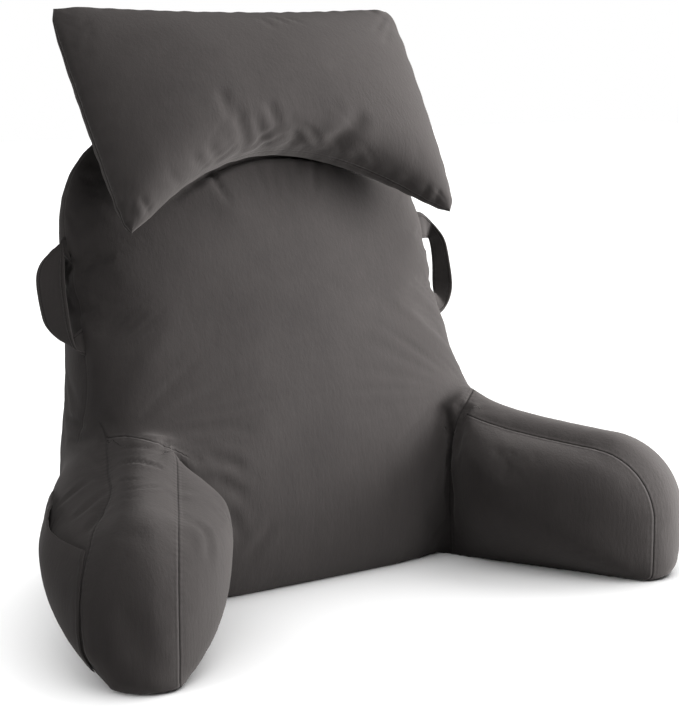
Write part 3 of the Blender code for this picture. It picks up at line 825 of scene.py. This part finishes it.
def even_shoulders(piece):
    """Evens out the cover where the back runs into the outer side of each arm."""
    co = places(piece)
    for side in (-1, 1):
        x = co[:, 0] * side
        along = (x - ARM_CORNER_X) * math.sin(ARM_SPLAY) - (co[:, 1] - FLOOR_EDGE_Y) * math.cos(ARM_SPLAY)
        across = (x - ARM_CORNER_X) * math.cos(ARM_SPLAY) + (co[:, 1] - FLOOR_EDGE_Y) * math.sin(ARM_SPLAY)
        region = smooth_step(across, *SHOULDER_ACROSS) * smooth_step(along, *SHOULDER_REAR)
        region *= 1 - smooth_step(along, *SHOULDER_FRONT)
        region *= 1 - smooth_step(co[:, 2], *SHOULDER_TOP)
        region *= smooth_step(co[:, 2], *FOOT_FADE)
        smooth(piece, region, SHOULDER_PASSES)


def even_corners(piece, seams):
    """Evens out the corner between two panels of an arm."""
    for seam in seams:
        co = places(piece)
        weight = 1 - smooth_step(near_path(co, seam)[0], *CORNER_FADE)
        smooth(piece, weight * smooth_step(co[:, 2], *FOOT_FADE), CORNER_PASSES)


def held_share(piece, seams):
    """How far each vertex of the cover is held while it is filled: at its foot and along its seams."""
    co = places(piece)
    hold = np.where(co[:, 2] < FLAT_FOOT, 1.0, 0.0)
    for side in (-1, 1):
        hold = np.maximum(hold, 1 - smooth_step(near_path(co, panel_seam(side))[0], *PANEL_HOLD))
    for seam in seams:
        hold = np.maximum(hold, BAND_HOLD_SHARE * (1 - smooth_step(near_path(co, seam)[0], *BAND_HOLD)))
    return hold


def make_cover():
    """Cover of the backrest and both arms: one filled skin, creased where the panels are sewn."""
    parts = [loft(back_rings()), loft(arm_rings(-1)), loft(arm_rings(1))]
    piece = remeshed("cover", parts, COVER_VOXEL)
    smooth(piece, np.where(places(piece)[:, 2] > FOOT_FADE[0], 1.0, 0.0), 2)
    even_shoulders(piece)
    seams = [arm_seam(side, outer) for side in (-1, 1) for outer in (False, True)]
    even_corners(piece, seams)
    hold = held_share(piece, seams)
    free = COVER_START_SHRINK * (1 - hold)
    set_places(piece, places(piece) - normals(piece) * free[:, None])
    inflate(piece, COVER_MOVE, held=hold)
    joins = seen_seams(piece, PANEL_SEAM_SEEN)
    crest = seen_seams(piece, CREST_SEAM_SEEN)[:1]
    sides = [side_seam(side) for side in (-1, 1)]
    for paths, pull in ((seams, BAND_PULL), (joins, PANEL_PULL), (crest, CREST_PULL), (sides, SIDE_PULL)):
        press_seams(piece, paths, *pull)
    photo_creases(piece, COVER_CREASES, COVER_RIDGE)
    co = places(piece)
    co[:, 2] = np.maximum(co[:, 2], 0.0)
    set_places(piece, co)
    mark_seams(piece, seams + joins + crest, sides)
    return piece


def head_place(s, w, face):
    """Place on the head pillow: s from side to side and w from foot to top, each -1 to 1."""
    full_side = 1 - abs(s) ** HEAD_SIDE_POWER
    from_fullest = w
    if face > 0:
        from_fullest = (w - HEAD_FULLEST) / (1 - HEAD_FULLEST if w > HEAD_FULLEST else 1 + HEAD_FULLEST)
    corner = HEAD_CORNER_ROUND * (s * w) ** 8
    s, w = s * (1 - corner), w * (1 - HEAD_CORNER_UPRIGHT * corner)
    v = (w + 1) / 2
    foot = HEAD_ARCH * math.cos(math.pi / 2 * s) ** 1.1 if abs(s) < 1 else 0.0
    foot -= HEAD_TIP_DROP * s**6
    top = HEAD_HEIGHT - HEAD_TOP_DIP * (1 - s * s) + HEAD_EAR_RISE * s**10
    up = foot + (top - foot) * v
    x = s * (HEAD_HALF_WIDTH_FOOT + (HEAD_HALF_WIDTH_TOP - HEAD_HALF_WIDTH_FOOT) * up / HEAD_HEIGHT)
    x -= HEAD_SLANT * up / HEAD_HEIGHT
    full = math.sqrt(max(0.0, full_side)) * math.sqrt(max(0.0, 1 - abs(from_fullest) ** HEAD_FACE_POWER))
    lift = HEAD_HALF_THICKNESS * full * face
    hang = math.exp(-(((w - HEAD_BELLY_AT) / HEAD_BELLY_RUN) ** 2)) * (1 - w * w) / (1 - HEAD_BELLY_AT**2)
    if face > 0:
        up -= HEAD_BELLY_DROP * hang * max(0.0, 1 - (s / HEAD_BELLY_SIDE) ** 2)
    y = HEAD_FOOT_Y + up * math.sin(HEAD_LEAN) - lift * math.cos(HEAD_LEAN)
    z = HEAD_FOOT_Z + up * math.cos(HEAD_LEAN) + lift * math.sin(HEAD_LEAN)
    return (x, y, z)


def crowded(steps, share):
    """Steps from -1 to 1 that crowd towards both ends."""
    return np.sin(np.linspace(-1, 1, steps + 1) * math.pi / 2 * share) / math.sin(math.pi / 2 * share)


def make_head_pillow(cover):
    """Head pillow: a filled cushion whose lower edge arches over the backrest."""
    steps_across, steps_up = HEAD_STEPS
    across, upward = crowded(steps_across, 0.92), crowded(steps_up, 0.9)
    points, index, cornered = [], {}, []
    for face in (1, -1):
        for i, s in enumerate(across):
            for j, w in enumerate(upward):
                rim = i in (0, steps_across) or j in (0, steps_up)
                if rim and face < 0:
                    index[face, i, j] = index[1, i, j]
                    continue
                index[face, i, j] = len(points)
                points.append(head_place(s, w, face))
                cornered.append(abs(s * w))
    faces = []
    for face in (1, -1):
        for cell in grid_cells(steps_across, steps_up):
            faces.append(tuple(index[face, i, j] for i, j in cell[::face]))
    piece = new_piece("head_pillow_cover", points, faces)
    smooth(piece, smooth_step(np.array(cornered), *TIP_FADE), TIP_PASSES)
    rim = [index[1, i, j] for i, j in grid_rim(steps_across, steps_up)]
    rim.append(rim[0])
    seam = places(piece)[rim]
    away = near_path(places(piece), seam)[0]
    gather = 1 - smooth_step(away, *GATHER_FADE)
    inflate(piece, HEAD_MOVE, held=gather, tighten=gather)
    press_seams(piece, [seam], *HEAD_PULL)
    photo_creases(piece, HEAD_CREASES, HEAD_RIDGE)
    clear_of(piece, cover, HEAD_CLEARANCE)
    seam = places(piece)[rim]
    start, end = (int(share * steps_across) for share in CRACK_RUN)
    press_under(cover, seam[start:end])
    faint_end = int(HEAD_FAINT_RUN * steps_across)
    mark_seams(piece, [seam[faint_end:]], [seam[:faint_end + 1]])
    return piece


def press_under(cover, edge):
    """Presses a narrow crack into the cover just below an edge that lies on it."""
    rays = edge[::3] - CAMERA_AT - (0.0, 0.0, CRACK_BELOW)
    crease(cover, seen_along(tree_of(cover), rays), CRACK_WIDTH, CRACK_DEPTH, 0.0)


def clear_of(piece, other, gap):
    """Moves the places of a piece that lie in another piece out to its surface."""
    tree = tree_of(other)
    co = places(piece)
    for i, point in enumerate(co):
        near, normal = tree.find_nearest(Vector(point), CLEAR_REACH)[:2]
        if near is None:
            continue
        depth = (Vector(point) - near).dot(normal)
        if depth < gap:
            co[i] = np.array(near + normal * gap)
    set_places(piece, co)


def make_strap(name, path, side):
    """Carry strap: a folded strip with its ends in the side seam."""
    before, behind = [], []
    for row in path:
        at = dict(zip(STRAP_COLUMNS, row))
        for edge, knots in (("front", before), ("rear", behind)):
            height = at[edge + "_z"]
            place = (STRAP_SIDE_X + at[edge + "_out"], seam_y(height) + at[edge + "_back"], height)
            knots.append(np.array(place) * (side, 1, 1))
    before, behind = smooth_path(before, STRAP_STEPS), smooth_path(behind, STRAP_STEPS)
    middle = (before + behind) / 2
    normal = np.cross(np.gradient(middle, axis=0), behind - before)
    normal /= np.linalg.norm(normal, axis=1)[:, None]
    length = np.concatenate([[0], np.cumsum(np.linalg.norm(np.diff(middle, axis=0), axis=1))])
    shares = np.linspace(0, 1, 19)
    rows, place_across = [], []
    for sign in (1, -1):
        for share in (shares if sign > 0 else shares[::-1]):
            edge = min(share, 1 - share)
            dip = 1 - STRAP_DIP * math.exp(-((edge - STRAP_DIP_AT) / STRAP_DIP_WIDTH) ** 2)
            half = STRAP_THICKNESS / 2 * min(1.0, STRAP_EDGE_THIN + edge * STRAP_EDGE_GROWTH) * dip
            rows.append(before + (behind - before) * share + normal * half * sign)
            place_across.append(share)
    rings = np.stack(rows, 1)
    points, faces = loft(list(rings))
    piece = new_piece(name, points, faces)
    across = np.tile(np.array(place_across), STRAP_STEPS + 1)
    wide = float(np.linalg.norm(behind - before, axis=1).max())
    from_stitches = np.minimum(across, 1 - across) * wide - STRAP_STITCH_INSET
    store_seams(piece, from_stitches, np.ones(len(points)), np.repeat(length, rings.shape[1]))
    return piece, (wide, float(length[-1]))


def pocket_front(up):
    """Place along the arm of the pocket's front edge."""
    over = max(0.0, up - (ARM_SEAM_TOP_FRONT - ARM_TOP_RADIUS))
    return ARM_FRONT - ARM_TOP_RADIUS + math.sqrt(ARM_TOP_RADIUS**2 - over**2) - POCKET_SEAM_INSET


def make_pocket(cover):
    """Side pocket: a hemmed sheet sewn to the outer side of the left arm, gaping at its mouth."""
    tree = tree_of(cover)
    steps_along, steps_up = POCKET_STEPS
    out_way = arm_to_world([(0, 1, 0)], -1)[0] - arm_to_world([(0, 0, 0)], -1)[0]
    inner, outer, stitch, way = [], [], [], []
    for i in range(steps_along + 1):
        a = i / steps_along
        mouth = POCKET_MOUTH_REAR + (POCKET_MOUTH_FRONT - POCKET_MOUTH_REAR) * a
        mouth -= POCKET_MOUTH_SAG * math.sin(math.pi * a)
        for j in range(steps_up + 1):
            b = j / steps_up
            up = POCKET_FOOT + (mouth - POCKET_FOOT) * b
            along = POCKET_REAR + (pocket_front(up) - POCKET_REAR) * a
            far = arm_to_world([(along, 0.30, up)], -1)[0]
            hit = tree.ray_cast(Vector(far), Vector(-out_way))
            near, normal = np.array(hit[0]), np.array(hit[1])
            lean = normal + out_way
            lean /= np.linalg.norm(lean)
            gape = float(smooth_step(a, *POCKET_GAPE_START) * (1 - smooth_step(a, *POCKET_GAPE_END)))
            gape *= math.sin(math.pi / 2 * b) ** POCKET_GAPE_POWER
            gap = POCKET_EDGE_GAP + (POCKET_MOUTH_GAP - POCKET_EDGE_GAP) * gape
            hem = 1.0 + POCKET_HEM_EXTRA * float(smooth_step(b, *POCKET_HEM_FROM))
            inner.append(near + lean * gap)
            outer.append(near + lean * (gap + POCKET_THICKNESS * hem))
            stitch.append((pocket_front(up) - along) - POCKET_STITCH_INSET)
            way.append(along)
    points = inner + outer
    shift, row = len(inner), steps_up + 1
    faces = []
    for cell in grid_cells(steps_along, steps_up):
        ring = [i * row + j for i, j in cell]
        faces.append(tuple(ring))
        faces.append(tuple(k + shift for k in ring[::-1]))
    rim = [i * row + j for i, j in grid_rim(steps_along, steps_up)]
    for k, start in enumerate(rim):
        end = rim[(k + 1) % len(rim)]
        faces.append((start, start + shift, end + shift, end))
    piece = new_piece("pocket_sheet", points, faces)
    store_seams(piece, stitch * 2, [FAINT_SEAM] * len(points), way * 2)
    smooth(piece, np.ones(len(points)), 3)
    return piece


# Material


def set_inputs(node, **values):
    """Sets the inputs of a shader node, with a space for each underscore in their names."""
    for label, value in values.items():
        node.inputs[label.replace("_", " ")].default_value = value


def velvet(name, stitched=False):
    """Brushed velvet: short upright nap with faint streaks, soft patches, and seams read from the mesh, their
    grooves darkened with painted shade.
    """
    material = bpy.data.materials.new(name)
    material.use_nodes = True
    nodes, links = material.node_tree.nodes, material.node_tree.links
    shader = nodes["Principled BSDF"]
    set_inputs(shader, Specular_IOR_Level=0.07, Sheen_Weight=0.11, Sheen_Roughness=0.6,
               Sheen_Tint=SHEEN_TINT)

    def node(kind, **settings):
        made = nodes.new("ShaderNode" + kind)
        for key, value in settings.items():
            setattr(made, key, value)
        return made

    def math_node(operation, a, b=None, clamp=False):
        made = node("Math", operation=operation, use_clamp=clamp)
        for slot_index, value in enumerate((a, b)):
            if value is None:
                continue
            if isinstance(value, (int, float)):
                made.inputs[slot_index].default_value = value
            else:
                links.new(value, made.inputs[slot_index])
        return made.outputs[0]

    def times(a, b):
        return math_node("MULTIPLY", a, b)

    def weighted(*terms):
        total = times(*terms[0])
        for value, weight in terms[1:]:
            total = math_node("ADD", total, times(value, weight))
        return total

    def noise(scale, detail, stretch, roughness):
        mapping = node("Mapping")
        set_inputs(mapping, Scale=stretch)
        links.new(coordinates.outputs["Object"], mapping.inputs["Vector"])
        made = node("TexNoise")
        set_inputs(made, Scale=scale, Detail=detail, Roughness=roughness)
        links.new(mapping.outputs["Vector"], made.inputs["Vector"])
        return made.outputs["Fac"]

    coordinates = node("TexCoord")
    patches, streaks, fuzz, pile = [noise(*row) for row in VELVET_NOISES]
    labels = ("seam_side", "seam_near", "seam_along")
    side, near, along = [node("Attribute", attribute_name=label).outputs["Fac"] for label in labels]

    def bell(value, width):
        scaled = math_node("DIVIDE", value, width)
        return math_node("POWER", math.e, times(times(scaled, scaled), -1.0))

    groove = times(bell(side, GROOVE_WIDTH), near)
    from_lip = math_node("SUBTRACT", math_node("ABSOLUTE", side), LIP_AT)
    lips = times(bell(from_lip, LIP_WIDTH), near)
    stitch_wave = math_node("SINE", times(along, 2 * math.pi / STITCH_PITCH))
    stitches = times(math_node("GREATER_THAN", stitch_wave, -0.2), groove)
    pucker_wave = math_node("SINE", weighted((along, 2 * math.pi / PUCKER_PITCH), (patches, 14.0)))
    puckers = times(times(pucker_wave, bell(side, PUCKER_REACH)), near)

    ramp = node("ValToRGB")
    dark, light = ramp.color_ramp.elements
    dark.position, dark.color = 0.30, VELVET_DARK
    light.position, light.color = 0.72, VELVET_LIGHT
    links.new(weighted((patches, 0.64), (streaks, 0.18), (fuzz, 0.18)), ramp.inputs["Fac"])
    # Painted shade: the colour is darkened along each seam's groove, and on stitched pieces only in dashes at
    # the stitches.
    shade = node("Mix", data_type="RGBA", blend_type="MIX")
    links.new(times(stitches if stitched else groove, 0.55), shade.inputs["Factor"])
    links.new(ramp.outputs["Color"], shade.inputs["A"])
    set_inputs(shade, B=SEAM_GROOVE_SHADE)
    links.new(shade.outputs["Result"], shader.inputs["Base Color"])
    links.new(math_node("ADD", times(pile, 0.16), 0.78, clamp=True), shader.inputs["Roughness"])

    height = weighted((fuzz, 0.00010), (pile, 0.00030), (streaks, 0.00020), (lips, 0.00022),
                      (groove, -0.0008), (puckers, 0.00010))
    bump = node("Bump")
    set_inputs(bump, Strength=1.0, Distance=1.0)
    links.new(height, bump.inputs["Height"])
    links.new(bump.outputs["Normal"], shader.inputs["Normal"])
    return material


def finish_piece(piece, material, slot, *replaced):
    """Gives a piece its material and its place in the model."""
    piece.data.materials.clear()
    piece.data.materials.append(material)
    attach(piece, "root")
    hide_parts(*replaced)


# Studio


def aim(lamp, turn, height, distance):
    """Aims a lamp at the middle of the object. turn goes from -Y towards +X, and both angles are degrees."""
    turn, height = math.radians(turn), math.radians(height)
    way = Vector((math.sin(turn) * math.cos(height), -math.cos(turn) * math.cos(height), math.sin(height)))
    place = Matrix.Translation(way * distance + Vector(LIGHT_AIM))
    lamp.matrix_world = place @ way.to_track_quat("Z", "Y").to_matrix().to_4x4()


def add_light(name, kind, receivers, turn, height, distance, energy):
    """One lamp that lights only what is in a collection."""
    light = bpy.data.lights.new(name, kind)
    light.energy = energy
    lamp = add_object(name, light)
    aim(lamp, turn, height, distance)
    lamp.light_linking.receiver_collection = receivers
    return light


def make_studio(pieces):
    """Floor, lights, world and camera."""
    scene = bpy.context.scene
    scene.view_settings.view_transform = "Standard"
    scene.view_settings.look = "None"
    signs = ((-1, -1), (1, -1), (1, 1), (-1, 1))
    corners = [(x * FLOOR_SPAN, y * FLOOR_SPAN, FLOOR_HEIGHT) for x, y in signs]
    floor = new_piece("floor", corners, [(0, 1, 2, 3)])
    material = bpy.data.materials.new("floor_paper")
    material.use_nodes = True
    shader = material.node_tree.nodes["Principled BSDF"]
    set_inputs(shader, Base_Color=FLOOR_WHITE, Roughness=0.9, Specular_IOR_Level=0.0)
    floor.data.materials.append(material)

    world = bpy.data.worlds.new("studio")
    scene.world = world
    world.use_nodes = True
    set_inputs(world.node_tree.nodes["Background"], Color=(1.0, 1.0, 1.0, 1.0), Strength=1.0)
    # Only the camera sees the white world.
    for ray in ("diffuse", "glossy", "transmission", "scatter"):
        setattr(world.cycles_visibility, ray, False)

    on_object = bpy.data.collections.new("lit_object")
    for piece in pieces:
        on_object.objects.link(piece)
    on_floor = bpy.data.collections.new("lit_floor")
    on_floor.objects.link(floor)
    for name, turn, height, distance, energy, size in OBJECT_LIGHTS:
        add_light(name, "AREA", on_object, turn, height, distance, energy).size = size
    for name, turn, height, energy, spread in FLOOR_LIGHTS:
        add_light(name, "SUN", on_floor, turn, height, 3.0, energy).angle = math.radians(spread)

    right, up, forward = camera_axes()
    data = bpy.data.cameras.new("camera")
    data.sensor_fit = "HORIZONTAL"
    data.sensor_width = SENSOR_WIDTH
    data.lens = FOCAL_PIXELS / IMAGE_WIDTH * SENSOR_WIDTH
    camera = add_object("camera", data)
    place = Matrix.Identity(4)
    for column, axis in enumerate((right, up, -forward, CAMERA_AT)):
        for line in range(3):
            place[line][column] = float(axis[line])
    camera.matrix_world = place
    scene.camera = camera


def main():
    """Builds every piece and the studio."""
    cover = make_cover()
    head = make_head_pillow(cover)
    finish_piece(cover, velvet("cover_velvet"), "backrest_fabric", "backrest", "arm_left", "arm_right")
    finish_piece(head, velvet("head_velvet"), "head_pillow_fabric", "head_pillow")
    pieces = [cover, head]
    for name, path, side in (("strap_left", STRAP_LEFT_PATH, -1), ("strap_right", STRAP_RIGHT_PATH, 1)):
        strap, flat = make_strap(name + "_strip", path, side)
        finish_piece(strap, velvet(name + "_velvet", True), name + "_fabric", name)
        pieces.append(strap)
    pocket = make_pocket(cover)
    finish_piece(pocket, velvet("pocket_velvet", True), "pocket_fabric", "pocket")
    make_studio(pieces + [pocket])


main()
